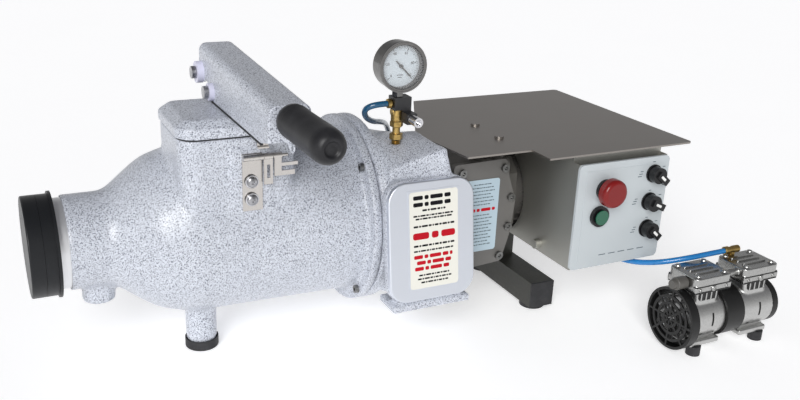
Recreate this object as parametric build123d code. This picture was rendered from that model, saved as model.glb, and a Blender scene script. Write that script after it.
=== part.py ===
from build123d import *
import math
import os

# Working frame, mm: X along the barrel, -Y toward the operator, Z up, X = 0 at the barrel flange.
AXIS_Z = 174.5
SHIFT_X = -80.75
SHIFT_Y = 102.5

NECK_R = 60.0
BARREL_R = 113.0
BORE_R = 101.0
FLANGE_R = 131.5
FLANGE_T = 12.0
PIPE_R = 57.0
PIPE_BORE = 50.0
CAP_R = 63.5
FIT = 0.05
LEG_R, LEG_Z = 21.0, 8.0
BOSS_Z = 94.0

HOP_X0, HOP_X1 = -238.0, -92.0
HOP_Y0, HOP_Y1 = -97.0, 28.0
HOP_TOP = 318.0
GASKET_T = 2.0
LID_TOP = 341.0
PIVOT_Y, PIVOT_Z = 36.0, 371.0
ARM_X0, ARM_X1 = -176.0, -128.0
ARM_WALL = 3.0
GRIP_X, GRIP_Z, GRIP_R = -152.0, 376.0, 19.0

CHAMBER_X1 = 112.0
SEAT_TOP = (-138.0, 254.0)
SEAT_BOTTOM = (-160.0, 92.0)
COVER_W, COVER_H = 125.0, 160.0
COVER_X = 70.5

GEAR_Y0, GEAR_Y1 = -92.0, 86.0
GEAR_Z0, GEAR_Z1 = 98.0, 250.0
COUNTER_Y = 42.0
MOTOR_X0, MOTOR_X1 = 262.0, 396.0

BOX_X0, BOX_X1 = 270.0, 421.0
BOX_Y0, BOX_Y1 = -192.0, 76.0
BOX_Z0, BOX_Z1 = 112.0, 266.0
PLATE_Z0, PLATE_Z1 = 275.5, 278.0
BEAM_X0, BEAM_X1 = 280.0, 320.0
BEAM_HALF = 96.0
GAUGE_X, GAUGE_Y, GAUGE_Z = 55.0, -70.0, 388.0

PUMP_X, PUMP_Y = 486.0, -268.0
PUMP_AXIS_Z = 50.0

PARTS = {}


def box(x0, x1, y0, y1, z0, z1):
    return Pos((x0 + x1) / 2, (y0 + y1) / 2, (z0 + z1) / 2) * Box(x1 - x0, y1 - y0, z1 - z0)


def cyl_x(x0, x1, r, y=0.0, z=AXIS_Z):
    return Pos((x0 + x1) / 2, y, z) * Rot(0, 90, 0) * Cylinder(r, x1 - x0)


def cyl_y(y0, y1, r, x, z):
    return Pos(x, (y0 + y1) / 2, z) * Rot(90, 0, 0) * Cylinder(r, y1 - y0)


def cyl_z(z0, z1, r, x, y):
    return Pos(x, y, (z0 + z1) / 2) * Cylinder(r, z1 - z0)


def hex_z(z0, z1, r, x, y):
    return Pos(x, y, z0) * extrude(RegularPolygon(r, 6), z1 - z0)


def rounded_z(x0, x1, y0, y1, z0, z1, r):
    sketch = RectangleRounded(x1 - x0, y1 - y0, r)
    return Pos((x0 + x1) / 2, (y0 + y1) / 2, z0) * extrude(sketch, z1 - z0)


def prism_x(points, x0, x1):
    """Prism along X from a (y, z) outline."""
    face = make_face(Polyline([(x0, y, z) for y, z in points], close=True))
    return extrude(face, x1 - x0, dir=(1, 0, 0))


def prism_y(points, y0, y1):
    """Prism along Y from an (x, z) outline."""
    face = make_face(Polyline([(x, y0, z) for x, z in points], close=True))
    return extrude(face, y1 - y0, dir=(0, 1, 0))


def ring_x(x0, x1, r_out, r_in, y=0.0, z=AXIS_Z):
    return cyl_x(x0, x1, r_out, y, z) - cyl_x(x0 - 1, x1 + 1, r_in, y, z)


def polar(r, degrees, y=0.0, z=AXIS_Z):
    a = math.radians(degrees)
    return y + r * math.cos(a), z + r * math.sin(a)


def bulb_outline(neck_r, body_r, end_x, end_r, start_x):
    """Half section of the barrel wall: straight neck, swelling bulb, nearly straight body."""
    swell = [(-324, 0.0), (-300, 0.20), (-280, 0.50), (-260, 0.75), (-236, 0.91), (-200, 1.0)]
    points = [(x, neck_r + (body_r - neck_r) * f) for x, f in swell]
    curve = Spline(points, tangents=[(1, 0), (1, 0)])
    edges = [
        Line((start_x, 0), (start_x, neck_r)),
        Line((start_x, neck_r), points[0]),
        curve,
        Line(points[-1], (end_x, end_r)),
        Line((end_x, end_r), (end_x, 0)),
        Line((end_x, 0), (start_x, 0)),
    ]
    return Pos(0, 0, AXIS_Z) * revolve(make_face(edges), Axis.X)


def make_barrel():
    outer = bulb_outline(NECK_R, BARREL_R - 2, 1.0, BARREL_R + 1, -366.0)
    throat = rounded_z(HOP_X0 + 12, HOP_X1 - 12, HOP_Y0 + 12, HOP_Y1 - 12, AXIS_Z, HOP_TOP + 1, 14)
    body = outer + cyl_x(0, FLANGE_T, FLANGE_R)
    body += cyl_z(LEG_Z, 120, LEG_R, -200, -6)
    body += Pos(-200, -6, 66) * Cone(LEG_R, 28, 22)
    body += cyl_z(BOSS_Z, AXIS_Z - 20, 20.5, -330, -6)
    body -= bulb_outline(PIPE_BORE + 1, BORE_R, 13.0, BORE_R, -370.0)
    body -= cyl_x(-370, -345, PIPE_R) + throat
    body -= cyl_z(BOSS_Z - 5, BOSS_Z + 17, 5, -330, -6)
    for a in FLANGE_SCREWS:
        y, z = polar(122.5, a)
        body -= cyl_x(-1, FLANGE_T + 1, 3.2, y, z)
    PARTS["barrel_casting"] = body
    neck = rounded_z(HOP_X0, HOP_X1, HOP_Y0, HOP_Y1, AXIS_Z, HOP_TOP, 22)
    neck += box(-178, -128, HOP_Y0 - 3, HOP_Y0 + 4, 226, 303)
    PARTS["hopper_neck"] = neck - outer - throat


FLANGE_SCREWS = [135.5, 229.0, 45.0, -45.0]


def make_nozzle():
    PARTS["nozzle_pipe"] = ring_x(-390.5, -345.0, PIPE_R, PIPE_BORE)
    ring = cyl_x(-379, -375.5, CAP_R + 3) + cyl_x(-393, -379, CAP_R) + cyl_x(-407, -393, 58)
    ring -= cyl_x(-390.5, -370, PIPE_R)
    ring -= cyl_x(-408, -390, PIPE_BORE + 2)
    PARTS["nozzle_adaptor"] = ring
    cap = cyl_x(-410.5, -393.3, CAP_R)
    cap = fillet(cap.faces().sort_by(Axis.X)[0].edges(), 2.0)
    cap -= cyl_x(-407.3, -393, 58 + FIT)
    PARTS["nozzle_cap"] = cap


def make_lid():
    outer = (HOP_X0 - 2, HOP_X1 + 2, HOP_Y0 - 2, HOP_Y1 + 2)
    seal = rounded_z(*(HOP_X0 + 1, HOP_X1 - 1, HOP_Y0 + 1, HOP_Y1 - 1), HOP_TOP, HOP_TOP + GASKET_T, 21)
    seal -= rounded_z(*(HOP_X0 + 11, HOP_X1 - 11, HOP_Y0 + 11, HOP_Y1 - 11), HOP_TOP - 1, HOP_TOP + 3, 14)
    PARTS["hopper_gasket"] = seal
    lid = rounded_z(*outer, HOP_TOP + GASKET_T, LID_TOP, 24)
    lid = chamfer(lid.faces().sort_by(Axis.Z)[-1].edges(), 9.0, 13.0)
    lid -= rounded_z(HOP_X0 + 14, HOP_X1 - 14, HOP_Y0 + 14, HOP_Y1 - 14, HOP_TOP, LID_TOP - 8, 12)
    lid += box(-162, -142, -26, -2, LID_TOP - 3, 368)
    lid -= cyl_x(-180, -124, 5, -14, 356)
    PARTS["hopper_lid"] = lid


ARM_OUTLINE = [
    (48, 407), (49.5, 371), (44, 360), (30, 358.5), (12, 364), (-8, 343), (-205, 343), (-232, 350),
    (-235, 391),
]
ARM_HOLLOW = [(60, 404), (60, 330), (-205, 330), (-231, 340), (-231, 387)]
ROD_R = 7.0


def make_arm():
    arm = prism_x(ARM_OUTLINE, ARM_X0, ARM_X1)
    top = arm.edges().filter_by(Axis.Y, tolerance=12).sort_by(Axis.Z)[-2:]
    arm = fillet(top, 10.0)
    arm -= prism_x(ARM_HOLLOW, ARM_X0 + ARM_WALL, ARM_X1 - ARM_WALL)
    arm -= cyl_x(-180, -124, 5 + FIT, PIVOT_Y, PIVOT_Z)
    arm -= cyl_x(-180, -124, 5, -14, 356)
    arm -= cyl_y(-240, -225, ROD_R, GRIP_X, GRIP_Z)
    arm += Pos(GRIP_X, -239.5, 348) * Rot(0, 90, 0) * Torus(7, 1.6)
    arm += box(GRIP_X - 2, GRIP_X + 2, -235.5, -229, 345, 356)
    PARTS["lever_arm"] = arm
    strip = [(-8, 343), (-8, 341), (-206, 341), (-206, 343)]
    left = prism_x(strip, ARM_X0, ARM_X0 + ARM_WALL)
    right = prism_x(strip, ARM_X1 - ARM_WALL, ARM_X1)
    PARTS["arm_edge_seal"] = left + right
    rod = cyl_y(-340, -215, ROD_R, GRIP_X, GRIP_Z)
    rod += cyl_y(-230.5, -224, 10, GRIP_X, GRIP_Z)
    PARTS["handle_rod"] = rod
    grip = cyl_y(-352, -236, GRIP_R, GRIP_X, GRIP_Z)
    grip = fillet(grip.edges().filter_by(GeomType.CIRCLE), 7.0)
    PARTS["handle_grip"] = grip - cyl_y(-340, -230, ROD_R, GRIP_X, GRIP_Z)
    tongue = prism_x([(28, 286), (46, 286), (46, PIVOT_Z), (31, PIVOT_Z), (31, 318), (28, 316)], -162, -142)
    tongue += cyl_x(-162, -142, 10, PIVOT_Y, PIVOT_Z)
    tongue -= cyl_x(-163, -141, 5, PIVOT_Y, PIVOT_Z)
    PARTS["hinge_bracket"] = tongue
    pivot = cyl_x(-184.5, -124.5, 5, PIVOT_Y, PIVOT_Z)
    pivot += cyl_x(-190, -184.5, 8, PIVOT_Y, PIVOT_Z) + cyl_x(-124.5, -119, 8, PIVOT_Y, PIVOT_Z)
    PARTS["hinge_bolt"] = pivot
    washers = cyl_x(-184, -176, 14, PIVOT_Y, PIVOT_Z) - cyl_x(-185, -175, 5 + FIT, PIVOT_Y, PIVOT_Z)
    washers += cyl_x(-182, -176, 11, -14, 356) - cyl_x(-183, -175, 5, -14, 356)
    PARTS["arm_washers"] = washers
    bolt = cyl_x(-182, -128, 5, -14, 356)
    bolt += cyl_x(-188, -182, 8, -14, 356) + cyl_x(-128, -122, 8, -14, 356)
    PARTS["lid_bolt"] = bolt


LATCH_Y = HOP_Y0 - 3


def make_latch():
    base = box(-166, -141, LATCH_Y - 2.5, LATCH_Y, 226, 299)
    base += cyl_x(-166, -141, 4, LATCH_Y - 6, 295)
    base += box(-166, -141, LATCH_Y - 6, LATCH_Y - 1, 292, 298)
    for z in (264, 241):
        base += cyl_y(LATCH_Y - 6, LATCH_Y - 2, 6.5, -155, z)
    base += cyl_x(-142, -110, 2, LATCH_Y - 6, 295)
    PARTS["latch_base"] = base
    lever = box(-140.5, -129.5, LATCH_Y - 8.5, LATCH_Y - 6.5, 260, 296)
    lever += cyl_x(-140.5, -129.5, 4, LATCH_Y - 6, 295)
    lever -= box(-137, -133, LATCH_Y - 10, LATCH_Y - 5, 268, 285)
    PARTS["latch_lever"] = lever - cyl_x(-141, -129, 2 + FIT, LATCH_Y - 6, 295)
    hook = cyl_x(-128.5, -118, 4, LATCH_Y - 6, 295)
    hook += box(-128, -119, LATCH_Y - 10, LATCH_Y - 7.5, 274, 295)
    hook += box(-128, -102, LATCH_Y - 10, LATCH_Y - 7.5, 270, 276)
    hook += box(-119, -98, LATCH_Y - 10, LATCH_Y - 7.5, 282, 286)
    PARTS["latch_hook"] = hook - cyl_x(-129, -117, 2 + FIT, LATCH_Y - 6, 295)
    keeper = box(-147, -133, LATCH_Y - 2.4, LATCH_Y - 0.4, 305, 332)
    keeper += box(-147, -133, LATCH_Y - 6, LATCH_Y - 0.4, 305, 307)
    keeper += box(-147, -133, LATCH_Y - 0.5, HOP_Y0 - 2, 322, 331)
    PARTS["latch_keeper"] = keeper


SEAT_DY = SEAT_BOTTOM[0] - SEAT_TOP[0]
SEAT_DZ = SEAT_BOTTOM[1] - SEAT_TOP[1]
SEAT_LEN = math.hypot(SEAT_DY, SEAT_DZ)
SEAT_N = (0.0, SEAT_DZ / SEAT_LEN, -SEAT_DY / SEAT_LEN)
SEAT_MID = (COVER_X, (SEAT_TOP[0] + SEAT_BOTTOM[0]) / 2, (SEAT_TOP[1] + SEAT_BOTTOM[1]) / 2)
SEAT = Plane(SEAT_MID, x_dir=(1, 0, 0), z_dir=SEAT_N)


def on_seat(width, height, radius, d0, d1):
    """Rounded plate on the sloping chamber seat between distances d0 and d1 out of the seat."""
    return SEAT * Pos(0, 0, d0) * extrude(RectangleRounded(width, height, radius), d1 - d0)


def make_chamber():
    left = [(60, 66), (100, 110), (100, 240), (52, 284), (-62, 290), (-118, 262), (-125, 130), (-100, 84), (-40, 62)]
    right = [(60, 66), (84, 100), (84, 240), (40, 262), (-42, 289), (-128, 287), (-134, 254), (-150, 84), (-40, 66)]
    face_a = make_face(Polyline([(24, y, z) for y, z in left], close=True))
    face_b = make_face(Polyline([(96, y, z) for y, z in right], close=True))
    body = loft([face_a, face_b]) + prism_x(right, 96, CHAMBER_X1)
    body -= prism_y([(CHAMBER_X1 + 1, 232), (CHAMBER_X1 + 1, 295), (CHAMBER_X1 - 12, 295)], -170, 70)
    body += cyl_x(FLANGE_T, 30, FLANGE_R)
    body += on_seat(COVER_W - 2, COVER_H + 2, 24, -14, 0)
    body += box(14, 128, -165, -120, 80, 90)
    body -= on_seat(COVER_W - 36, COVER_H - 36, 14, -30, 1)
    body -= box(34, 104, -132, 70, 84, 248)
    body -= cyl_x(11, 40, 60)
    body -= cyl_x(100, 113, 26)
    body -= cyl_z(270, 292, 6, GAUGE_X, GAUGE_Y)
    for a in FLANGE_SCREWS:
        y, z = polar(122.5, a)
        body -= cyl_x(11, 26, 3.2, y, z)
    PARTS["vacuum_chamber"] = body
    screws = None
    for a in FLANGE_SCREWS:
        y, z = polar(122.5, a)
        one = cyl_x(0, 24, 3, y, z) + (cyl_x(-5, 0, 5.5, y, z) - cyl_x(-6, -2, 2.5, y, z))
        screws = one if screws is None else screws + one
    PARTS["cap_screws"] = screws
    gasket = on_seat(COVER_W - 12, COVER_H - 12, 20, 0, 2.5) - on_seat(COVER_W - 32, COVER_H - 32, 15, -1, 3)
    PARTS["chamber_gasket"] = gasket
    cover = on_seat(COVER_W, COVER_H, 26, 2.5, 9.0)
    cover = fillet(cover.faces().sort_by(Axis(SEAT_MID, SEAT_N))[-1].edges(), 2.0)
    cover += SEAT * Pos(2, 2, 9.0) * extrude(Rectangle(75, 134), 0.4)
    PARTS["chamber_cover"] = cover


def make_auger():
    shaft = cyl_x(-318, 172, 17)
    shaft += Pos(-328, 0, AXIS_Z) * Rot(0, 90, 0) * Cone(5, 17, 20)
    PARTS["auger_shaft"] = shaft
    blades = None
    for i, x in enumerate(range(-270, -20, 42)):
        reach = 62 if x < -250 else 92
        for turn in (0, 180):
            blade = Pos(x, 0, AXIS_Z) * Rot(70 * i + turn, 0, 0) * Rot(0, 0, 28) * Pos(0, 0, (reach + 17) / 2)
            blade = blade * Box(5, 46, reach - 17)
            limit = cyl_x(-330, 12, reach + 2)
            blade = (blade & limit) - cyl_x(-330, 12, 17)
            blades = blade if blades is None else blades + blade
    PARTS["auger_blades"] = blades
    screen = cyl_x(1, 9, 100.9) - cyl_x(0, 10, 18.5)
    for r, n in ((36, 8), (56, 12), (78, 18)):
        for k in range(n):
            y, z = polar(r, 360 * k / n)
            screen -= cyl_x(0, 10, 7.5, y, z)
    PARTS["shredder_screen"] = screen
    seal = ring_x(100, 112, 26, 17 + FIT)
    PARTS["shaft_seal"] = seal


def toothed(x0, x1, teeth, tip, root, y, z):
    """Gear blank with shallow plain teeth."""
    points = []
    for k in range(teeth):
        for part, r in ((0.0, root), (0.22, tip), (0.55, tip), (0.78, root)):
            a = 2 * math.pi * (k + part) / teeth
            points.append((y + r * math.cos(a), z + r * math.sin(a)))
    return prism_x(points, x0, x1)


def make_gearbox():
    outline = [(130, 252), (214, 254), (221, 226), (234, 190), (229, 140), (217, 98), (172, 95), (130, 95)]
    body = box(112.5, 226, GEAR_Y0, GEAR_Y1, GEAR_Z0, GEAR_Z1)
    body = fillet(body.edges().filter_by(Axis.X), 10.0)
    body -= box(122, 217, GEAR_Y0 - 1, 78, 106, 242)
    body -= cyl_x(112, 123, 17.6)
    body -= cyl_x(216, 227, 20)
    body += cyl_x(218, 224, 20) - cyl_x(217, 225, 10.3)
    body += cyl_z(GEAR_Z1 - 1, PLATE_Z0, 8, 214, -11) + cyl_z(GEAR_Z1 - 1, PLATE_Z0, 8, 212, -80)
    body += cyl_x(121, 128, 14, COUNTER_Y) + cyl_x(212, 218, 14, COUNTER_Y)
    body -= cyl_x(120, 219, 8 + FIT, COUNTER_Y)
    PARTS["gearbox_housing"] = body
    cover = prism_y(outline, -101, GEAR_Y0)
    cover = fillet(cover.edges().filter_by(Axis.Y), 6.0)
    cover += box(150, 206, -101.4, -100.5, 118, 228)
    for x, z in GEAR_BOLTS:
        cover -= cyl_y(-102, -91, 3.2, x, z)
    PARTS["gearbox_cover"] = cover
    bolts = None
    for x, z in GEAR_BOLTS:
        one = cyl_y(-101, -86, 3, x, z) + (cyl_y(-106, -101, 5.8, x, z) - cyl_y(-107, -103, 2.6, x, z))
        bolts = one if bolts is None else bolts + one
    PARTS["cap_screws"] += bolts
    PARTS["gearbox_housing"] = PARTS["gearbox_housing"] - bolts
    gear = toothed(140, 160, 42, 31.2, 28.8, 0, AXIS_Z) - cyl_x(139, 161, 17)
    PARTS["output_gear"] = gear
    counter = toothed(180, 200, 42, 31.2, 28.8, COUNTER_Y, AXIS_Z)
    counter += toothed(138, 162, 14, 10.3, 8.8, COUNTER_Y, AXIS_Z)
    PARTS["counter_gears"] = counter + cyl_x(121, 218, 8, COUNTER_Y)


GEAR_BOLTS = [(143, 240), (211, 241), (225, 196), (223, 152), (212, 108), (143, 107)]


def make_motor():
    bell = box(226, 262, -60, 60, AXIS_Z - 60, AXIS_Z + 60)
    bell = chamfer(bell.edges().filter_by(Axis.X), 20.0)
    bell = fillet(bell.faces().sort_by(Axis.X)[0].edges(), 4.0)
    adaptor = bell + cyl_x(240, 252, 64)
    adaptor -= cyl_x(225, 263, 50)
    PARTS["motor_adaptor"] = adaptor
    body = ring_x(MOTOR_X0, MOTOR_X1, 58, 53)
    body += cyl_x(MOTOR_X0, MOTOR_X0 + 8, 58) + cyl_x(MOTOR_X1 - 8, MOTOR_X1, 58)
    for k in range(20):
        y, z = polar(58.5, 18 * k + 9)
        body += Pos(329, y, z) * Rot(18 * k + 9, 0, 0) * Box(110, 5, 2.4)
    body += ring_x(292, 366, 54, 37)
    body -= cyl_x(MOTOR_X0 - 1, MOTOR_X1 + 1, 9 + FIT)
    body += ring_x(MOTOR_X0, MOTOR_X0 + 8, 16, 9 + FIT)
    PARTS["motor_body"] = body
    rotor = cyl_x(203, 414, 9) + cyl_x(294, 364, 36)
    rotor += toothed(181, 199, 14, 10.3, 8.8, 0, AXIS_Z) + cyl_x(198, 204, 8.5)
    fan = cyl_x(402, 412, 16)
    for k in range(8):
        fan += Pos(407, 0, AXIS_Z) * Rot(45 * k, 0, 0) * Pos(0, 0, 28) * Rot(0, 0, 30) * Box(2, 12, 30)
    PARTS["motor_rotor"] = rotor + fan


def make_frame():
    tube = box(BEAM_X0, BEAM_X1, -BEAM_HALF, BEAM_HALF, 7, 47)
    tube -= box(BEAM_X0 + 3, BEAM_X1 - 3, -BEAM_HALF - 1, BEAM_HALF + 1, 10, 44)
    tube += box(284, 316, 12, 70, 47, BOX_Z0)
    PARTS["foot_beam"] = tube
    foot = cyl_z(0, LEG_Z + 6, LEG_R + 1.5, -200, -6)
    foot = fillet(foot.faces().sort_by(Axis.Z)[0].edges(), 2.0)
    feet = foot - cyl_z(LEG_Z, LEG_Z + 7, LEG_R, -200, -6)
    for s in (-1, 1):
        end = box(BEAM_X0, BEAM_X1, *sorted((s * BEAM_HALF, s * (BEAM_HALF + 3))), 7, 47)
        plug = box(BEAM_X0 + 3, BEAM_X1 - 3, *sorted((s * BEAM_HALF, s * (BEAM_HALF - 10))), 10, 44)
        feet += end + plug + cyl_z(0, 7, 19, 300, s * 74)
    PARTS["rubber_feet"] = feet
    outline = [(470, 147), (193, 147), (113, -15), (113, -60), (124, -145), (224, -145), (224, -187), (470, -187)]
    face = make_face(Polyline([(x, y, PLATE_Z0) for x, y in outline], close=True))
    plate = extrude(face, PLATE_Z1 - PLATE_Z0, dir=(0, 0, 1))
    corners = plate.edges().filter_by(Axis.Z)
    plate = fillet(corners.sort_by(Axis.X)[-2:], 6.0)
    for x, y in ((214, -11), (212, -80)):
        plate += Pos(x, y, PLATE_Z1) * (Cylinder(6.5, 3, align=(Align.CENTER, Align.CENTER, Align.MIN)))
    PARTS["top_plate"] = plate
    shell = box(BOX_X0, BOX_X1, BOX_Y0, BOX_Y1, BOX_Z0, PLATE_Z0)
    shell -= box(BOX_X0 + 2, BOX_X1 - 2, BOX_Y0 - 1, BOX_Y1 - 2, BOX_Z0 + 2, PLATE_Z0 - 2)
    shell -= box(BOX_X0 - 1, BOX_X1 + 1, BOX_Y0 - 1, BOX_Y0 + 14, BOX_Z1, PLATE_Z0 + 1)
    shell += box(BOX_X0 + 2, BOX_X1 - 2, BOX_Y0 + 14, BOX_Y0 + 16, BOX_Z1 - 8, PLATE_Z0 - 2)
    shell -= cyl_x(BOX_X0 - 1, BOX_X0 + 3, 70)
    shell += cyl_x(BOX_X0 - 9, BOX_X0, 7, -118, 124)
    for y, x in ((20, 350.4), (-97, 360.5)):
        clip = cyl_y(y - 4, y + 4, 8, x, 105) + box(x - 8, x + 8, y - 4, y + 4, 105, BOX_Z0)
        shell += clip - cyl_y(y - 5, y + 5, 6.4, x, 105)
    PARTS["control_box"] = shell
    panel = box(BOX_X0 - 2, BOX_X1 + 2, BOX_Y0 - 4, BOX_Y0, BOX_Z0 + 1, BOX_Z1)
    panel = fillet(panel.edges().filter_by(Axis.Y), 7.0)
    panel += box(BOX_X0 + 10, BOX_X1 - 12, BOX_Y0 - 4.5, BOX_Y0 - 3, BOX_Z0 + 12, BOX_Z1 - 10)
    for x, z, r in PANEL_HOLES:
        panel -= cyl_y(BOX_Y0 - 6, BOX_Y0 + 1, r, x, z)
    PARTS["control_panel"] = panel


PANEL_Y = BOX_Y0 - 4.5
ESTOP = (313.0, 228.0)
START = (307.5, 190.0)
KNOBS = {"knob_top": (396.0, 242.0, 40), "knob_middle": (394.0, 201.0, 25), "knob_bottom": (396.0, 160.0, 42)}
PANEL_HOLES = [(*ESTOP, 11.2), (*START, 11.2)] + [(x, z, 5.2) for x, z, _ in KNOBS.values()]


def make_controls():
    y = PANEL_Y
    base = None
    for x, z in (ESTOP, START):
        one = cyl_y(y - 5, y, 14.7, x, z) + cyl_y(y, y + 40, 11, x, z)
        one -= cyl_y(y - 6, y + 30, 8 + FIT, x, z)
        base = one if base is None else base + one
    for x, z, _ in KNOBS.values():
        base += cyl_y(y - 2.5, y, 13, x, z) + cyl_y(y, y + 30, 5, x, z)
        base -= cyl_y(y - 3, y + 22, 3 + FIT, x, z)
    PARTS["operator_bases"] = base
    head = cyl_y(y - 26, y - 12, 20, *ESTOP)
    head = fillet(head.faces().sort_by(Axis.Y)[0].edges(), 6.0)
    head += cyl_y(y - 13, y + 20, 8, *ESTOP)
    PARTS["estop_head"] = head
    button = cyl_y(y - 9, y + 20, 8, *START)
    button += cyl_y(y - 9, y - 7.5, 10.5, *START)
    PARTS["start_button"] = button
    for name, (x, z, turn) in KNOBS.items():
        knob = cyl_y(y - 15, y - 3, 11.5, x, z)
        knob += Pos(x, 0, z) * Rot(0, turn, 0) * box(-5, 17, y - 18, y - 3.2, -5, 5)
        knob += cyl_y(y - 4, y + 20, 3, x, z)
        PARTS[name] = knob


def make_gauge():
    x, y = GAUGE_X, GAUGE_Y
    tee = cyl_z(272, 330, 6, x, y)
    tee += hex_z(288.5, 297, 9, x, y) + cyl_z(297, 306, 7.5, x, y) + hex_z(306, 314, 9, x, y)
    tee += cyl_z(314, 330, 8, x, y)
    tee += cyl_x(40, 48, 6.5, y, 338)
    PARTS["gauge_tee"] = tee
    manifold = box(x - 8, x + 16, y - 10, y + 10, 330, 347)
    manifold += box(x + 3, x + 17, y - 26, y - 8, 314, 328) + box(x + 4, x + 16, y - 10, y - 6, 320, 334)
    manifold -= cyl_y(y - 30, y - 14, 4 + FIT, x + 10, 321) + tee
    PARTS["gauge_manifold"] = manifold
    knob = cyl_y(y - 44, y - 27, 6.5, x + 10, 321) + cyl_y(y - 27, y - 14.5, 4, x + 10, 321)
    knob -= cyl_y(y - 45, y - 38, 4, x + 10, 321)
    PARTS["bleed_valve"] = knob
    case = cyl_y(y - 13, y + 14, 32, x, GAUGE_Z)
    case = fillet(case.faces().sort_by(Axis.Y)[-1].edges(), 4.0)
    case += cyl_y(y - 15, y - 9, 33.5, x, GAUGE_Z)
    case -= cyl_y(y - 16, y - 3, 29, x, GAUGE_Z)
    case += hex_z(347, 358, 8, x, y)
    PARTS["gauge_case"] = case
    PARTS["gauge_lens"] = cyl_y(y - 14, y - 12, 28.9, x, GAUGE_Z)
    dial = cyl_y(y - 4.5, y - 3, 28.9, x, GAUGE_Z) - cyl_y(y - 6, y - 2, 1 + FIT, x, GAUGE_Z)
    PARTS["gauge_dial"] = dial
    needle = cyl_y(y - 9, y - 6, 2.6, x, GAUGE_Z) + cyl_y(y - 7, y - 3.2, 1, x, GAUGE_Z)
    pointer = Pos(x, 0, GAUGE_Z) * Rot(0, 45, 0) * box(-10, 20, y - 7.5, y - 6.7, -0.9, 0.9)
    PARTS["gauge_needle"] = needle + pointer


HOSE = [
    (40.0, -70.0, 338.0), (22.0, -70.0, 338.0), (12.0, -60.0, 330.0), (22.0, -42.0, 314.0),
    (44.0, -18.0, 300.0), (76.0, 20.0, 287.0), (106.0, 66.0, 270.0), (132.0, 106.0, 236.0),
    (160.0, 124.0, 196.0), (206.0, 122.0, 160.0), (256.0, 112.0, 128.0), (310.0, 92.0, 105.0),
    (346.0, 52.0, 103.0), (354.0, -6.0, 106.0), (357.0, -66.0, 106.5), (364.0, -128.0, 106.0),
    (382.0, -182.0, 103.0), (406.0, -218.0, 112.0), (440.0, -242.0, 124.0), (474.0, -248.0, 128.0),
    (502.0, -248.0, 128.0),
]


def hose_radii(points, share=0.45):
    radii = []
    for a, b, c in zip(points, points[1:], points[2:]):
        u = [q - p for p, q in zip(a, b)]
        v = [q - p for p, q in zip(b, c)]
        lu, lv = math.dist(a, b), math.dist(b, c)
        dot = sum(p * q for p, q in zip(u, v)) / (lu * lv)
        turn = math.acos(max(-1.0, min(1.0, dot)))
        radii.append(share * min(lu, lv) / math.tan(turn / 2))
    return radii


HOSE_R = 4.0


def make_hose():
    radii = hose_radii(HOSE)
    path = FilletPolyline(*HOSE, radius=radii)
    start = Plane(HOSE[0], z_dir=[q - p for p, q in zip(HOSE[0], HOSE[1])])
    outer = sweep(start * Circle(HOSE_R), path=path)
    inner = sweep(start * Circle(2.6), path=path)
    PARTS["vacuum_hose"] = outer - inner
    print("hose length", round(path.length, 1), "radii", [round(r) for r in radii])


def pump_place(shape):
    return Pos(PUMP_X, PUMP_Y, 0) * shape


def make_pump():
    z = PUMP_AXIS_Z
    housing = None
    for s in (-1, 1):
        a, b = sorted((s * 16, s * 76))
        drum = cyl_x(a, b, 33, 0, z)
        neck = rounded_z(a + 8, b - 8, -22, 22, z, 97, 8)
        rails = box(a + 4, b - 4, -30, 30, 14, 22)
        one = drum + neck + rails
        one -= cyl_x(a + (5 if s < 0 else -1), b + (1 if s < 0 else -5), 27, 0, z)
        one -= cyl_x(a - 1, b + 1, 5 + FIT, 0, z)
        for k in range(4):
            one -= box(a + 14 + 9 * k, a + 18 + 9 * k, -23, 23, 88, 95)
        housing = one if housing is None else housing + one
    PARTS["pump_housing"] = pump_place(housing)
    stator = ring_x(-16, 16, 37, 24, 0, z)
    PARTS["pump_stator"] = pump_place(stator)
    heads = None
    for s in (-1, 1):
        a, b = sorted((s * 12, s * 78))
        one = box(a, b, -28, 28, 97, 106) + rounded_z(a, b, -28, 28, 106.0, 118, 8)
        for x in (a + 9, b - 9):
            for y in (-20, 20):
                one += cyl_z(118, 121, 4, x, y)
        heads = one if heads is None else heads + one
    heads += cyl_x(-12, 12, 5, -12, 110)
    PARTS["pump_heads"] = pump_place(heads)
    guard = ring_x(-90, -76, 45, 41, 0, z) + ring_x(-78, -76, 45, 33, 0, z)
    for r in (12, 22, 32):
        guard += ring_x(-90, -88, r + 2, r - 2, 0, z)
    for k in range(8):
        guard += Pos(-89, 0, z) * Rot(45 * k, 0, 0) * Pos(0, 0, 24) * Box(2, 3, 40)
    guard += ring_x(76, 86, 33, 24, 0, z) + cyl_x(84, 86, 33, 0, z)
    PARTS["pump_fan_guards"] = pump_place(guard)
    rotor = cyl_x(-86, 80, 5, 0, z) + cyl_x(-15, 15, 23, 0, z)
    for k in range(6):
        rotor += Pos(-82.6, 0, z) * Rot(60 * k, 0, 0) * Pos(0, 0, 18) * Rot(0, 0, 28) * Box(2, 14, 32)
    rotor += cyl_x(-86.6, -78.6, 9, 0, z)
    PARTS["pump_rotor"] = pump_place(rotor)
    feet = None
    for x in (-60, 60):
        for y in (-24, 24):
            one = cyl_z(0, 14, 10, x, y)
            feet = one if feet is None else feet + one
    PARTS["pump_feet"] = pump_place(feet)
    ports = cyl_x(-98, -78, 9, -8, 108) + cyl_x(-104, -98, 7, -8, 108)
    ports += cyl_x(16, 44, 6, 20, 128) + cyl_z(118, 126, 5, 32, 20)
    PARTS["pump_ports"] = pump_place(ports)


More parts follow.
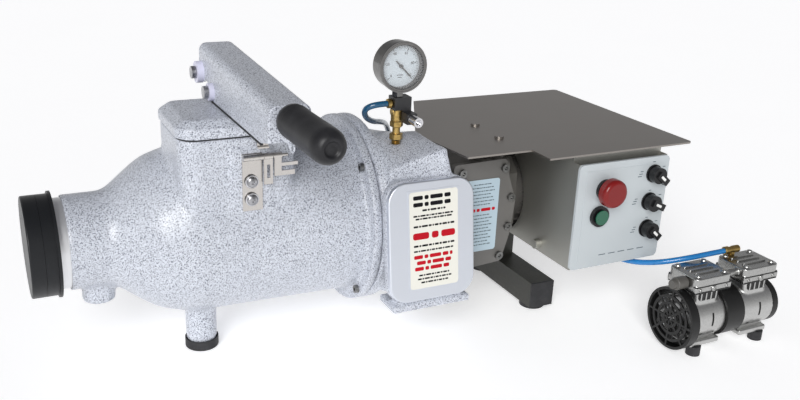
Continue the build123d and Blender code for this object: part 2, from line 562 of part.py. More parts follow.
def main():
    os.makedirs("parts", exist_ok=True)
    make_barrel()
    make_nozzle()
    make_lid()
    make_arm()
    make_latch()
    make_chamber()
    make_auger()
    make_gearbox()
    make_motor()
    make_frame()
    make_controls()
    make_gauge()
    make_hose()
    make_pump()
    for name, shape in PARTS.items():
        moved = Pos(SHIFT_X, SHIFT_Y, 0) * shape
        export_step(moved, "parts/" + name + ".step")
    boxes = [p.bounding_box() for n, p in PARTS.items() if n != "vacuum_hose"]
    low = [min(getattr(b.min, k) for b in boxes) for k in "XYZ"]
    high = [max(getattr(b.max, k) for b in boxes) for k in "XYZ"]
    print("parts", len(PARTS), "box", [round(v, 2) for v in low], [round(v, 2) for v in high])


if __name__ == "__main__":
    main()
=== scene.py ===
import math

import bmesh
import bpy
from mathutils import Matrix, Vector


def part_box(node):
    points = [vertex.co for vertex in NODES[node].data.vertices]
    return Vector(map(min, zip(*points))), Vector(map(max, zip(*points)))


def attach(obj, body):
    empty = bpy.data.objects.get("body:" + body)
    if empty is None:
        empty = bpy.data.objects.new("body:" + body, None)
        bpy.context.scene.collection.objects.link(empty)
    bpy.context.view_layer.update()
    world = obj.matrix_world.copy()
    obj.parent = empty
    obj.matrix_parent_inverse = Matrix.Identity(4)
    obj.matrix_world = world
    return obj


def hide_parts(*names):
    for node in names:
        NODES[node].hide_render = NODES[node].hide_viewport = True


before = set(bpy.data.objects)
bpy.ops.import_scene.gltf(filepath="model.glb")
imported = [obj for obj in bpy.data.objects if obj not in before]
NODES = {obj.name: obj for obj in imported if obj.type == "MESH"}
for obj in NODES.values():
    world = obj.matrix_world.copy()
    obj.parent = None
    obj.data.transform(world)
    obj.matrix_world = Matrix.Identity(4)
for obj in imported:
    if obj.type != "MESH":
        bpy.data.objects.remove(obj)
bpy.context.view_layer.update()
MM = 0.001

# Working frame of the machine, in mm: X from the barrel flange to the motor, Y = 0 on the barrel axis,
# Z up from the floor. The screen starts 1 mm behind the flange face and is centred on the axis.
screen_low, screen_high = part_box("shredder_screen")
ORIGIN = Vector((screen_low[0] - MM, (screen_low[1] + screen_high[1]) / 2, 0.0))
AXIS_Z = (screen_low[2] + screen_high[2]) / 2 / MM


def at(x, y, z):
    """Point of the working frame, as metres in the row frame."""
    return ORIGIN + Vector((x, y, z)) * MM


# ---------------------------------------------------------------- camera

CAMERA_AT = at(-462.0, -1100.0, 626.0)
YAW, PITCH, ROLL = math.radians(27.1), math.radians(20.2), math.radians(2.4)
LENS = 40.4


def make_camera():
    forward = Vector((math.sin(YAW) * math.cos(PITCH), math.cos(YAW) * math.cos(PITCH), -math.sin(PITCH)))
    level = Vector((math.cos(YAW), -math.sin(YAW), 0.0))
    upright = level.cross(forward)
    right = math.cos(ROLL) * level + math.sin(ROLL) * upright
    up = -math.sin(ROLL) * level + math.cos(ROLL) * upright
    data = bpy.data.cameras.new("camera")
    data.lens = LENS
    data.sensor_width = 36.0
    camera = bpy.data.objects.new("camera", data)
    turn = Matrix((right, up, -forward)).transposed().to_4x4()
    camera.matrix_world = Matrix.Translation(CAMERA_AT) @ turn
    bpy.context.scene.collection.objects.link(camera)
    bpy.context.scene.camera = camera


make_camera()


# ---------------------------------------------------------------- materials

class Surface:
    """A principled material with the few node chains that these surfaces need."""

    def __init__(self, name, color, rough, metal=0.0, coat=0.0, coat_rough=0.1, specular=0.5):
        self.mat = bpy.data.materials.new(name)
        self.mat.use_nodes = True
        self.tree = self.mat.node_tree
        self.bsdf = self.tree.nodes["Principled BSDF"]
        self.set("Base Color", (*color, 1.0))
        self.set("Roughness", rough)
        self.set("Metallic", metal)
        self.set("Coat Weight", coat)
        self.set("Coat Roughness", coat_rough)
        self.set("Specular IOR Level", specular)
        self.coords = None

    def set(self, socket, value):
        self.bsdf.inputs[socket].default_value = value

    def link(self, source, target):
        self.tree.links.new(source, target)

    def node(self, kind, **settings):
        made = self.tree.nodes.new("ShaderNode" + kind)
        for key, value in settings.items():
            setattr(made, key, value)
        return made

    def place(self, stretch=(1.0, 1.0, 1.0)):
        """Object coordinates in metres, stretched along the axes."""
        if self.coords is None:
            self.coords = self.node("TexCoord")
        mapping = self.node("Mapping")
        mapping.inputs["Scale"].default_value = stretch
        self.link(self.coords.outputs["Object"], mapping.inputs["Vector"])
        return mapping.outputs["Vector"]

    def noise(self, scale, detail=2.0, rough=0.5, stretch=(1.0, 1.0, 1.0)):
        made = self.node("TexNoise")
        made.inputs["Scale"].default_value = scale
        made.inputs["Detail"].default_value = detail
        made.inputs["Roughness"].default_value = rough
        self.link(self.place(stretch), made.inputs["Vector"])
        return made.outputs["Fac"]

    def cells(self, scale, feature="F1"):
        made = self.node("TexVoronoi", feature=feature)
        made.inputs["Scale"].default_value = scale
        self.link(self.place(), made.inputs["Vector"])
        return made.outputs["Distance"]

    def ramp(self, source, stops):
        made = self.node("ValToRGB")
        marks = made.color_ramp.elements
        while len(marks) < len(stops):
            marks.new(0.5)
        for mark, (where, value) in zip(marks, stops):
            mark.position = where
            color = value if isinstance(value, tuple) else (value, value, value)
            mark.color = (*color, 1.0)
        self.link(source, made.inputs["Fac"])
        return made.outputs["Color"]

    def mix(self, amount, a, b):
        made = self.node("Mix", data_type="RGBA")
        for socket, value in ((made.inputs["Factor"], amount), (made.inputs[6], a), (made.inputs[7], b)):
            if isinstance(value, bpy.types.NodeSocket):
                self.link(value, socket)
            else:
                socket.default_value = value if isinstance(value, float) else (*value, 1.0)
        return made.outputs[2]

    def span(self, source, low, high):
        """Source, from 0 to 1, as a value from low to high."""
        made = self.node("MapRange")
        made.inputs["To Min"].default_value = low
        made.inputs["To Max"].default_value = high
        self.link(source, made.inputs["Value"])
        return made.outputs["Result"]

    def color(self, source):
        self.link(source, self.bsdf.inputs["Base Color"])

    def rough(self, source, low, high):
        self.link(self.span(source, low, high), self.bsdf.inputs["Roughness"])

    def bump(self, source, height_mm, strength=1.0, after=None):
        made = self.node("Bump")
        made.inputs["Distance"].default_value = height_mm * MM
        made.inputs["Strength"].default_value = strength
        self.link(source, made.inputs["Height"])
        if after is not None:
            self.link(after, made.inputs["Normal"])
        self.link(made.outputs["Normal"], self.bsdf.inputs["Normal"])
        return made.outputs["Normal"]


def speckle_paint():
    """Hammer paint: pale blue-grey with fine dark flecks in a pebbled coat."""
    s = Surface("speckle_paint", (0.60, 0.64, 0.74), 0.40, coat=0.30, coat_rough=0.24)
    tone = s.mix(s.noise(24.0, 3.0), (0.60, 0.63, 0.70), (0.68, 0.71, 0.77))
    clouds = s.ramp(s.noise(430.0, 3.0, 0.6), [(0.42, 0.32), (0.58, 0.0)])
    veins = s.ramp(s.noise(700.0, 2.0, 0.55), [(0.39, 0.95), (0.47, 0.0)])
    flecks = s.ramp(s.cells(520.0), [(0.10, 0.8), (0.24, 0.0)])
    clouded = s.mix(clouds, tone, (0.36, 0.38, 0.44))
    veined = s.mix(veins, clouded, (0.10, 0.108, 0.145))
    s.color(s.mix(flecks, veined, (0.07, 0.08, 0.105)))
    s.rough(s.noise(300.0, 2.0), 0.32, 0.50)
    pebbles = s.cells(360.0, "SMOOTH_F1")
    s.bump(s.noise(700.0, 2.0), 0.06, 0.6, s.bump(pebbles, 0.13, 0.6))
    return s.mat


def brushed(name, color, rough, along, dark=0.75, grain=0.05):
    """Brushed metal, with the grain along one axis."""
    s = Surface(name, color, rough, metal=1.0)
    stretch = tuple(0.02 if axis == along else 1.0 for axis in "XYZ")
    lines = s.noise(900.0, 4.0, 0.65, stretch)
    cloud = s.noise(9.0, 3.0)
    shade = tuple(c * dark for c in color)
    s.color(s.mix(s.ramp(lines, [(0.3, 0.0), (0.7, 1.0)]), s.mix(cloud, shade, color), color))
    s.rough(lines, rough - 0.08, rough + 0.12)
    s.bump(lines, grain, 0.5)
    return s.mat


def worn_metal(name, color, rough, dark=0.6, grain=0.03, scale=160.0):
    """Turned or cast metal with a soft cloudy tone."""
    s = Surface(name, color, rough, metal=1.0)
    cloud = s.noise(scale, 4.0, 0.6)
    s.color(s.mix(s.ramp(cloud, [(0.35, 0.0), (0.65, 1.0)]), tuple(c * dark for c in color), color))
    s.rough(s.noise(scale * 2, 3.0), rough - 0.06, rough + 0.14)
    s.bump(cloud, grain, 0.5)
    return s.mat


def plastic(name, color, rough, grain=0.02, scale=900.0, coat=0.0, tone=0.8, specular=0.5):
    """Moulded plastic or smooth paint with a fine texture."""
    s = Surface(name, color, rough, coat=coat, specular=specular)
    cloud = s.noise(14.0, 3.0)
    s.color(s.mix(cloud, tuple(c * tone for c in color), tuple(min(1.0, c * (2 - tone)) for c in color)))
    s.rough(s.noise(60.0, 3.0), rough - 0.05, rough + 0.10)
    s.bump(s.noise(scale, 2.0), grain, 0.6)
    return s.mat


def rubber(name, color, rough, grain=0.08, scale=700.0):
    """Rubber with a matt, slightly dusty skin."""
    s = Surface(name, color, rough, specular=0.35)
    dust = s.ramp(s.noise(45.0, 5.0, 0.65), [(0.45, 0.0), (0.75, 1.0)])
    s.color(s.mix(dust, color, tuple(c * 1.7 + 0.006 for c in color)))
    s.rough(s.noise(90.0, 3.0), rough - 0.06, rough + 0.10)
    s.bump(s.noise(scale, 3.0), grain, 0.5)
    return s.mat


def powder_coat():
    """Black powder coat with an orange-peel skin."""
    s = Surface("powder_coat", (0.022, 0.022, 0.018), 0.42)
    s.color(s.mix(s.noise(20.0, 3.0), (0.018, 0.018, 0.015), (0.030, 0.030, 0.024)))
    s.rough(s.noise(200.0, 2.0), 0.34, 0.52)
    s.bump(s.noise(420.0, 3.0, 0.6), 0.16, 0.7)
    return s.mat


def bare_aluminium():
    """Turned aluminium: fine rings round the pipe's axis."""
    s = Surface("bare_aluminium", (0.83, 0.83, 0.84), 0.34, metal=0.85)
    rings = s.noise(1400.0, 3.0, 0.6, (1.0, 0.02, 0.02))
    s.color(s.mix(rings, (0.72, 0.73, 0.75), (0.90, 0.90, 0.91)))
    s.rough(rings, 0.26, 0.46)
    s.bump(rings, 0.04, 0.6)
    return s.mat


def clear_glass():
    """Thin clear lens: mostly see-through, with a hard reflection."""
    s = Surface("clear_lens", (1.0, 1.0, 1.0), 0.03)
    s.set("Alpha", 0.10)
    s.rough(s.noise(30.0, 3.0), 0.02, 0.06)
    return s.mat


def hose_plastic():
    """Polyurethane hose: dark teal where it leaves the gauge, bright blue toward the pump."""
    s = Surface("hose_blue", (0.01, 0.16, 0.42), 0.24, coat=0.4)
    s.set("Subsurface Weight", 0.10)
    s.set("Subsurface Radius", (0.3, 0.6, 1.0))
    s.set("Subsurface Scale", 0.002)
    split = s.node("SeparateXYZ")
    s.link(s.place(), split.inputs["Vector"])
    along = s.node("MapRange")
    along.inputs["From Min"].default_value = at(60, 0, 0).x
    along.inputs["From Max"].default_value = at(360, 0, 0).x
    s.link(split.outputs["X"], along.inputs["Value"])
    fresh = s.mix(s.noise(60.0, 2.0), (0.006, 0.15, 0.42), (0.013, 0.21, 0.53))
    s.color(s.mix(along.outputs["Result"], (0.006, 0.075, 0.16), fresh))
    s.rough(s.noise(120.0, 2.0), 0.18, 0.32)
    return s.mat


PAINT = speckle_paint()
ALUMINIUM = bare_aluminium()
BLACK_PLASTIC = plastic("black_plastic", (0.010, 0.011, 0.013), 0.36, 0.05, 500.0, specular=0.3)
BLACK_RUBBER = rubber("black_rubber", (0.020, 0.020, 0.022), 0.55)
GRIP_RUBBER = rubber("grip_rubber", (0.012, 0.012, 0.014), 0.40, 0.14, 520.0)
STAINLESS = brushed("stainless", (0.66, 0.63, 0.60), 0.20, "Z")
PLATE_STEEL = brushed("plate_steel", (0.36, 0.335, 0.31), 0.38, "X", 0.85)
BOX_STEEL = brushed("box_steel", (0.46, 0.455, 0.42), 0.50, "Z", 0.88)
SCREW_STEEL = worn_metal("screw_steel", (0.50, 0.50, 0.52), 0.26)
SHAFT_STEEL = worn_metal("shaft_steel", (0.46, 0.46, 0.46), 0.32)
WASHER = plastic("white_washer", (0.66, 0.66, 0.80), 0.34)
GEAR_PAINT = plastic("gear_paint", (0.125, 0.120, 0.113), 0.40, 0.12, 420.0, 0.2)
MOTOR_PAINT = plastic("motor_paint", (0.095, 0.090, 0.082), 0.42, 0.10, 420.0, 0.15)
CAP_STEEL = worn_metal("cap_screw_steel", (0.27, 0.27, 0.265), 0.30)
POWDER = powder_coat()
PANEL_PAINT = plastic("panel_paint", (0.49, 0.53, 0.55), 0.34, 0.04, 700.0, 0.2, 0.94)
STOP_RED = plastic("stop_red", (0.19, 0.004, 0.004), 0.30, 0.01, 900.0, 0.3, 0.9, 0.3)
START_GREEN = plastic("start_green", (0.004, 0.10, 0.050), 0.26, 0.01, 900.0, 0.4, 0.9)
KNOB_BLACK = plastic("knob_black", (0.007, 0.007, 0.008), 0.28, 0.02, 900.0, 0.1, specular=0.3)
WHITE_MARK = plastic("white_mark", (0.78, 0.78, 0.76), 0.42)
BRASS = worn_metal("brass", (0.58, 0.40, 0.14), 0.28)
GAUGE_STEEL = worn_metal("gauge_steel", (0.20, 0.195, 0.19), 0.14, 0.8, 0.01)
GLASS = clear_glass()
DIAL_WHITE = plastic("dial_white", (0.56, 0.63, 0.68), 0.40, 0.0, 900.0, 0.0, 0.97)
INK = plastic("ink", (0.008, 0.008, 0.010), 0.6, specular=0.1)
MANIFOLD_BLACK = plastic("manifold_black", (0.022, 0.022, 0.024), 0.40, 0.05, 500.0)
CHROME = worn_metal("chrome", (0.72, 0.72, 0.74), 0.12, 0.85, 0.01)
HOSE_BLUE = hose_plastic()
COVER_ALUMINIUM = brushed("cover_aluminium", (0.74, 0.77, 0.83), 0.44, "X", 0.96, 0.02)
PUMP_CAST = worn_metal("pump_cast", (0.56, 0.56, 0.55), 0.32, 0.86, 0.04, 420.0)
PUMP_HEAD = worn_metal("pump_head", (0.47, 0.47, 0.46), 0.24, 0.82, 0.03, 420.0)
PUMP_BLACK = plastic("pump_black", (0.009, 0.009, 0.009), 0.36, 0.04, 500.0, specular=0.35)
LABEL_CREAM = plastic("label_cream", (0.76, 0.75, 0.68), 0.34, 0.0, 900.0, 0.3, 0.98)
LABEL_BLUE = plastic("label_blue", (0.42, 0.53, 0.60), 0.34, 0.0, 900.0, 0.3, 0.97)
LABEL_INK = plastic("label_ink", (0.48, 0.008, 0.018), 0.6, specular=0.1)
LABEL_GREY = plastic("label_grey", (0.12, 0.15, 0.17), 0.6, specular=0.1)

FINISH = {
    "barrel_casting": PAINT, "hopper_neck": PAINT, "hopper_lid": PAINT, "lever_arm": PAINT,
    "hinge_bracket": PAINT, "vacuum_chamber": PAINT, "nozzle_pipe": ALUMINIUM,
    "nozzle_adaptor": BLACK_PLASTIC, "nozzle_cap": BLACK_PLASTIC, "rubber_feet": BLACK_RUBBER,
    # The black arm_edge_seal is painted shadow: the dark line between the lever arm's lower edge and the lid.
    "hopper_gasket": BLACK_RUBBER, "arm_edge_seal": BLACK_RUBBER, "handle_rod": STAINLESS,
    "handle_grip": GRIP_RUBBER, "hinge_bolt": SCREW_STEEL, "arm_washers": WASHER,
    "lid_bolt": SCREW_STEEL, "latch_base": STAINLESS, "latch_lever": STAINLESS, "latch_hook": STAINLESS,
    "latch_keeper": STAINLESS, "cap_screws": CAP_STEEL, "chamber_gasket": BLACK_RUBBER,
    "chamber_cover": COVER_ALUMINIUM, "shredder_screen": SHAFT_STEEL, "auger_shaft": SHAFT_STEEL,
    "auger_blades": SHAFT_STEEL, "shaft_seal": BLACK_RUBBER, "gearbox_housing": GEAR_PAINT,
    "gearbox_cover": GEAR_PAINT, "output_gear": SHAFT_STEEL, "counter_gears": SHAFT_STEEL,
    "motor_adaptor": MOTOR_PAINT, "motor_body": MOTOR_PAINT, "motor_rotor": SHAFT_STEEL,
    "foot_beam": POWDER, "top_plate": PLATE_STEEL, "control_box": BOX_STEEL,
    "control_panel": PANEL_PAINT, "operator_bases": KNOB_BLACK, "estop_head": STOP_RED,
    "start_button": START_GREEN, "knob_top": KNOB_BLACK, "knob_middle": KNOB_BLACK,
    "knob_bottom": KNOB_BLACK, "gauge_case": GAUGE_STEEL, "gauge_lens": GLASS, "gauge_dial": DIAL_WHITE,
    "gauge_needle": INK, "gauge_tee": BRASS, "gauge_manifold": MANIFOLD_BLACK, "bleed_valve": CHROME,
    "vacuum_hose": HOSE_BLUE, "pump_housing": PUMP_CAST, "pump_stator": PUMP_BLACK,
    "pump_heads": PUMP_HEAD, "pump_fan_guards": PUMP_BLACK, "pump_rotor": SHAFT_STEEL,
    "pump_feet": BLACK_RUBBER, "pump_ports": BRASS,
}


def finish_nodes():
    for name, material in FINISH.items():
        mesh = NODES[name].data
        mesh.materials.clear()
        mesh.materials.append(material)


finish_nodes()


# ---------------------------------------------------------------- making pieces

def link_piece(obj, body, material=None):
    bpy.context.scene.collection.objects.link(obj)
    if material is not None:
        obj.data.materials.append(material)
    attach(obj, body)
    return obj


def mesh_piece(name, bm, body, material, sharp=35.0):
    bmesh.ops.recalc_face_normals(bm, faces=bm.faces)
    mesh = bpy.data.meshes.new(name)
    bm.to_mesh(mesh)
    bm.free()
    smooth(mesh, sharp)
    return link_piece(bpy.data.objects.new(name, mesh), body, material)


def smooth(mesh, sharp):
    mesh.polygons.foreach_set("use_smooth", [True] * len(mesh.polygons))
    mesh.set_sharp_from_angle(angle=math.radians(sharp))


# ---------------------------------------------------------------- hose

HOSE_D = 8.0 * MM
HOSE = [
    (40.0, -70.0, 338.0), (22.0, -70.0, 338.0), (12.0, -60.0, 330.0), (22.0, -42.0, 314.0),
    (44.0, -18.0, 300.0), (76.0, 20.0, 287.0), (106.0, 66.0, 270.0), (132.0, 106.0, 236.0),
    (160.0, 124.0, 196.0), (206.0, 122.0, 160.0), (256.0, 112.0, 128.0), (310.0, 92.0, 105.0),
    (346.0, 52.0, 103.0), (354.0, -6.0, 106.0), (357.0, -66.0, 106.5), (364.0, -128.0, 106.0),
    (382.0, -182.0, 103.0), (406.0, -218.0, 112.0), (440.0, -242.0, 124.0), (474.0, -248.0, 128.0),
    (502.0, -248.0, 128.0),
]


def make_hose():
    curve = bpy.data.curves.new("hose", "CURVE")
    curve.dimensions = "3D"
    spline = curve.splines.new("NURBS")
    spline.points.add(len(HOSE) - 1)
    for point, place in zip(spline.points, HOSE):
        point.co = (*at(*place), 1.0)
    spline.order_u = 3
    spline.use_endpoint_u = True
    spline.resolution_u = 12
    curve.bevel_depth = HOSE_D / 2
    curve.bevel_resolution = 6
    curve.use_fill_caps = True
    hose = link_piece(bpy.data.objects.new("hose", curve), "machine", HOSE_BLUE)
    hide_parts("vacuum_hose")
    at(*HOSE[0])


make_hose()


# ---------------------------------------------------------------- cast pieces

def apply_modifiers(obj):
    graph = bpy.context.evaluated_depsgraph_get()
    mesh = bpy.data.meshes.new_from_object(obj.evaluated_get(graph))
    obj.modifiers.clear()
    obj.data = mesh


def cast_copy(name, nodes, body, voxel_mm, rounds, weight=None, material=PAINT):
    """The CAD nodes as one casting: remeshed, with its edges and inner corners rounded by smoothing."""
    bm = bmesh.new()
    for node in nodes:
        bm.from_mesh(NODES[node].data)
    bmesh.ops.remove_doubles(bm, verts=bm.verts, dist=1e-6)
    mesh = bpy.data.meshes.new(name)
    bm.to_mesh(mesh)
    bm.free()
    obj = link_piece(bpy.data.objects.new(name, mesh), body)
    remesh = obj.modifiers.new("remesh", "REMESH")
    remesh.mode = "VOXEL"
    remesh.voxel_size = voxel_mm * MM
    apply_modifiers(obj)
    group = obj.vertex_groups.new(name="soft")
    for vertex in obj.data.vertices:
        local = (vertex.co - ORIGIN) / MM
        group.add([vertex.index], 1.0 if weight is None else weight(local), "REPLACE")
    soften = obj.modifiers.new("soften", "SMOOTH")
    soften.factor = 0.5
    soften.iterations = rounds
    soften.vertex_group = "soft"
    apply_modifiers(obj)
    obj.vertex_groups.clear()
    obj.data.materials.clear()
    obj.data.materials.append(material)
    smooth(obj.data, 60.0)
    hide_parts(*nodes)
    return obj


BARREL_R = 112.0
HOPPER_X = (-238.0, -92.0)
HOPPER_TOP = 296.0
LEG = (-200.0, -6.0)
BOSS = (-330.0, -6.0)


def barrel_weight(p):
    """Full smoothing where the hopper, the leg and the boss grow out of the barrel, a little elsewhere."""
    radius = math.hypot(p.y, p.z - AXIS_Z)
    near_hopper = HOPPER_X[0] - 16 < p.x < HOPPER_X[1] + 16 and AXIS_Z + 20 < p.z < HOPPER_TOP
    near_leg = math.hypot(p.x - LEG[0], p.y - LEG[1]) < 42 and p.z < 100
    near_boss = math.hypot(p.x - BOSS[0], p.y - BOSS[1]) < 35 and 104 < p.z < 140
    blend = near_hopper and BARREL_R - 16 < radius < BARREL_R + 26
    return 1.0 if blend or near_leg or near_boss else 0.10


def chamber_weight(p):
    """The sloping seat, the window and the ledge stay crisp."""
    near_seat = p.y < -116 - 0.14 * (254 - p.z)
    return 0.12 if near_seat or p.z < 96 else 1.0


cast_copy("cast_barrel", ["barrel_casting", "hopper_neck"], "machine", 2.6, 40, barrel_weight)
cast_copy("cast_chamber", ["vacuum_chamber"], "machine", 2.6, 26, chamber_weight)
cast_copy("cast_lid", ["hopper_lid"], "lid", 2.0, 5)
cast_copy("cast_arm", ["lever_arm"], "lid", 1.4, 4)
cast_copy("soft_pump_housing", ["pump_housing"], "machine", 1.2, 6, None, PUMP_CAST)
cast_copy("soft_pump_heads", ["pump_heads"], "machine", 1.0, 6, None, PUMP_HEAD)


# ---------------------------------------------------------------- turned and flat pieces

def turned_rings(bm, profile, centre, axis, steps):
    """Rings of vertices for a (distance along the axis, radius) profile about an axis through centre, in mm."""
    axis = Vector(axis).normalized()
    side = axis.orthogonal().normalized()
    other = axis.cross(side)
    base = at(*centre)
    rings = []
    for along, radius in profile:
        ring = []
        for k in range(steps):
            angle = 2 * math.pi * k / steps
            out = math.cos(angle) * side + math.sin(angle) * other
            ring.append(bm.verts.new(base + (along * axis + radius * out) * MM))
        rings.append(ring)
    return rings


def bridge(bm, a, b):
    for k in range(len(a)):
        m = (k + 1) % len(a)
        bm.faces.new((a[k], a[m], b[m], b[k]))


def cap_ends(bm, rings):
    bm.faces.new(reversed(rings[0]))
    bm.faces.new(rings[-1])


def lathe(bm, profile, centre, axis, steps=48):
    """A turned solid, closed at both ends."""
    rings = turned_rings(bm, profile, centre, axis, steps)
    for a, b in zip(rings, rings[1:]):
        bridge(bm, a, b)
    cap_ends(bm, rings)


def lathe_ring(bm, profile, centre, axis, steps):
    """A turned ring, from a closed profile that leaves the middle open."""
    rings = turned_rings(bm, profile[:-1], centre, axis, steps)
    for a, b in zip(rings, rings[1:] + rings[:1]):
        bridge(bm, a, b)


def rounded_outline(width, height, radius, steps=6):
    points = []
    for sx, sy, start in ((1, 1, 0), (-1, 1, 90), (-1, -1, 180), (1, -1, 270)):
        cx, cy = sx * (width / 2 - radius), sy * (height / 2 - radius)
        for k in range(steps + 1):
            angle = math.radians(start + 90 * k / steps)
            points.append((cx + radius * math.cos(angle), cy + radius * math.sin(angle)))
    return points


def plate(bm, outline, centre, across, up, thick, edge=0.0):
    """A flat plate on the plane through centre, thickening outward, with an optional chamfered edge."""
    across, up = Vector(across).normalized(), Vector(up).normalized()
    out = across.cross(up)
    base = at(*centre)
    mid = Vector((sum(u for u, _ in outline), sum(v for _, v in outline))) / len(outline)
    rings = []
    levels = ((0.0, 0.0), (thick - edge, 0.0), (thick, edge)) if edge else ((0.0, 0.0), (thick, 0.0))
    for depth, inset in levels:
        ring = []
        for u, v in outline:
            back = Vector((u, v)) - mid
            back = back * (1 - inset / max(back.length, 1e-6)) + mid
            ring.append(bm.verts.new(base + (back.x * across + back.y * up + depth * out) * MM))
        rings.append(ring)
    for a, b in zip(rings, rings[1:]):
        bridge(bm, a, b)
    cap_ends(bm, rings)


def bar(bm, centre, across, up, width, height, thick):
    plate(bm, rounded_outline(width, height, min(width, height) * 0.3, 2), centre, across, up, thick)


def dome_screw(bm, centre, axis, radius, height):
    """A domed head with a round drive hole."""
    profile = [(0, radius), (height * 0.25, radius)]
    for k in range(1, 6):
        angle = math.radians(15 * k)
        profile.append((height * (0.25 + 0.75 * math.sin(angle)), radius * (0.12 + 0.88 * math.cos(angle))))
    profile += [(height, radius * 0.32), (height * 0.6, radius * 0.28), (height * 0.6, 0.1)]
    lathe(bm, profile, centre, axis, 32)


def make_grip():
    profile = [(0, 9), (0.6, 13), (2.5, 16.6), (6, 18.5), (11, 19)]
    profile += [(12 + k, 19 - 0.35 * (k % 2)) for k in range(0, 10)]
    profile += [(98, 19), (104, 18.6), (109, 17.2), (112.6, 15), (114.8, 12.4), (115.8, 10), (115.4, 8.6)]
    profile += [(113.6, 7.6), (112.4, 5.5), (113.0, 3.0), (113.4, 0.5)]
    bm = bmesh.new()
    lathe(bm, profile, (-152, -236, 376), (0, -1, 0), 72)
    grip = mesh_piece("rubber_grip", bm, "lid", GRIP_RUBBER, 50)
    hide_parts("handle_grip")


# ---------------------------------------------------------------- labels and marks

SEAT_TOP, SEAT_BOTTOM = (-138.0, 254.0), (-160.0, 92.0)
COVER_X = 70.5
NORTH, EAST = (0.0, 0.0, 1.0), (1.0, 0.0, 0.0)
DASHES = (2.6, 1.1, 3.4, 1.7, 0.8, 2.2, 1.3)


def seat_frame():
    """Centre, up and outward directions of the chamber's sloping seat."""
    fall = Vector((0.0, SEAT_BOTTOM[0] - SEAT_TOP[0], SEAT_BOTTOM[1] - SEAT_TOP[1])).normalized()
    centre = Vector((COVER_X, (SEAT_TOP[0] + SEAT_BOTTOM[0]) / 2, (SEAT_TOP[1] + SEAT_BOTTOM[1]) / 2))
    return centre, -fall, Vector(EAST).cross(-fall)


def lined_label(name, body, size, centre, up, face, rows):
    """A blank label with rows of plain bars: (height from the middle, width, bar height, material)."""
    across, up = Vector(EAST), Vector(up)
    out = across.cross(up)
    bm = bmesh.new()
    plate(bm, rounded_outline(*size, 4.0), centre, across, up, 0.25)
    mesh_piece(name, bm, body, face)
    inks = {}
    for height, width, tall, ink in rows:
        bm = inks.setdefault(ink.name, (ink, bmesh.new()))[1]
        place = Vector(centre) + up * height + out * 0.25
        start, k = -width / 2, 0
        while start < width / 2 - tall:
            long = min(tall * DASHES[k % len(DASHES)], width / 2 - start)
            bar(bm, place + across * (start + long / 2), across, up, long, tall, 0.08)
            start, k = start + long + tall * 0.45, k + 1
    for ink, bm in inks.values():
        mesh_piece(name + "_" + ink.name, bm, body, ink)


def make_labels():
    centre, up, out = seat_frame()
    top = centre + Vector(EAST) * 2 + up * 2 + out * 9.4
    rows = [(57, 60, 5.4, INK), (48, 60, 5.4, INK), (40, 34, 2.6, INK), (33, 60, 2.2, INK),
            (29, 54, 2.2, INK), (19, 60, 2.6, INK), (6, 62, 9.0, LABEL_INK), (-7, 60, 2.6, INK),
            (-14, 60, 2.2, INK), (-22, 60, 5.0, LABEL_INK), (-30, 52, 5.0, LABEL_INK),
            (-38, 58, 5.0, LABEL_INK), (-47, 46, 2.2, INK), (-52, 50, 2.2, INK), (-57, 40, 2.2, INK)]
    lined_label("cover_label", "chamber_cover", (71, 130), top, up, LABEL_CREAM, rows)
    rows = [(47 - 5 * k, 30 + 5 * (k % 3), 1.5, LABEL_GREY) for k in range(7)]
    rows += [(9, 44, 4.6, LABEL_INK)]
    rows += [(1 - 5 * k, 30 + 6 * (k % 2), 1.5, LABEL_GREY) for k in range(10)]
    lined_label("gearbox_label", "machine", (54, 108), (178, -101.4, 173), NORTH, LABEL_BLUE, rows)


def make_panel_marks():
    """Plain dashes round the operators, in place of their words."""
    bm = bmesh.new()
    for x, z in ((375, 243), (371, 203), (375, 160)):
        for k in range(3):
            bar(bm, (x - 1.5 * k, PANEL_Y, z + 3.5 * (1 - k)), EAST, NORTH, 5.0 + k, 1.1, 0.1)
    for x, z in ((395, 263), (414, 254), (394, 221), (414, 212), (395, 180), (414, 172)):
        bar(bm, (x, PANEL_Y, z - 4), EAST, NORTH, 4.5, 1.0, 0.1)
    for k in range(5):
        bar(bm, (322 + 17 * k, PANEL_Y, 130), EAST, NORTH, 12.0, 1.3, 0.1)
    mesh_piece("panel_marks", bm, "machine", LABEL_GREY)


PANEL_Y = -196.5
KNOBS = {
    "knob_top": (396.0, 242.0, 40), "knob_middle": (394.0, 201.0, 25), "knob_bottom": (396.0, 160.0, 42),
}


def make_knob_marks():
    for name, (x, z, turn) in KNOBS.items():
        angle = math.radians(turn)
        along = Vector((math.cos(angle), 0.0, -math.sin(angle)))
        across = Vector((0.0, -1.0, 0.0)).cross(along)
        bm = bmesh.new()
        centre = Vector((x, PANEL_Y - 18.0, z)) + along * 4.5
        bar(bm, centre, along, across, 10.0, 3.6, 0.3)
        mesh_piece(name + "_mark", bm, name, WHITE_MARK)


# ---------------------------------------------------------------- gauge

GAUGE = (55.0, -70.0, 388.0)
DIAL_FRONT = GAUGE[1] - 4.5


def dial_spot(angle, radius):
    return (GAUGE[0] + radius * math.sin(angle), DIAL_FRONT, GAUGE[2] + radius * math.cos(angle))


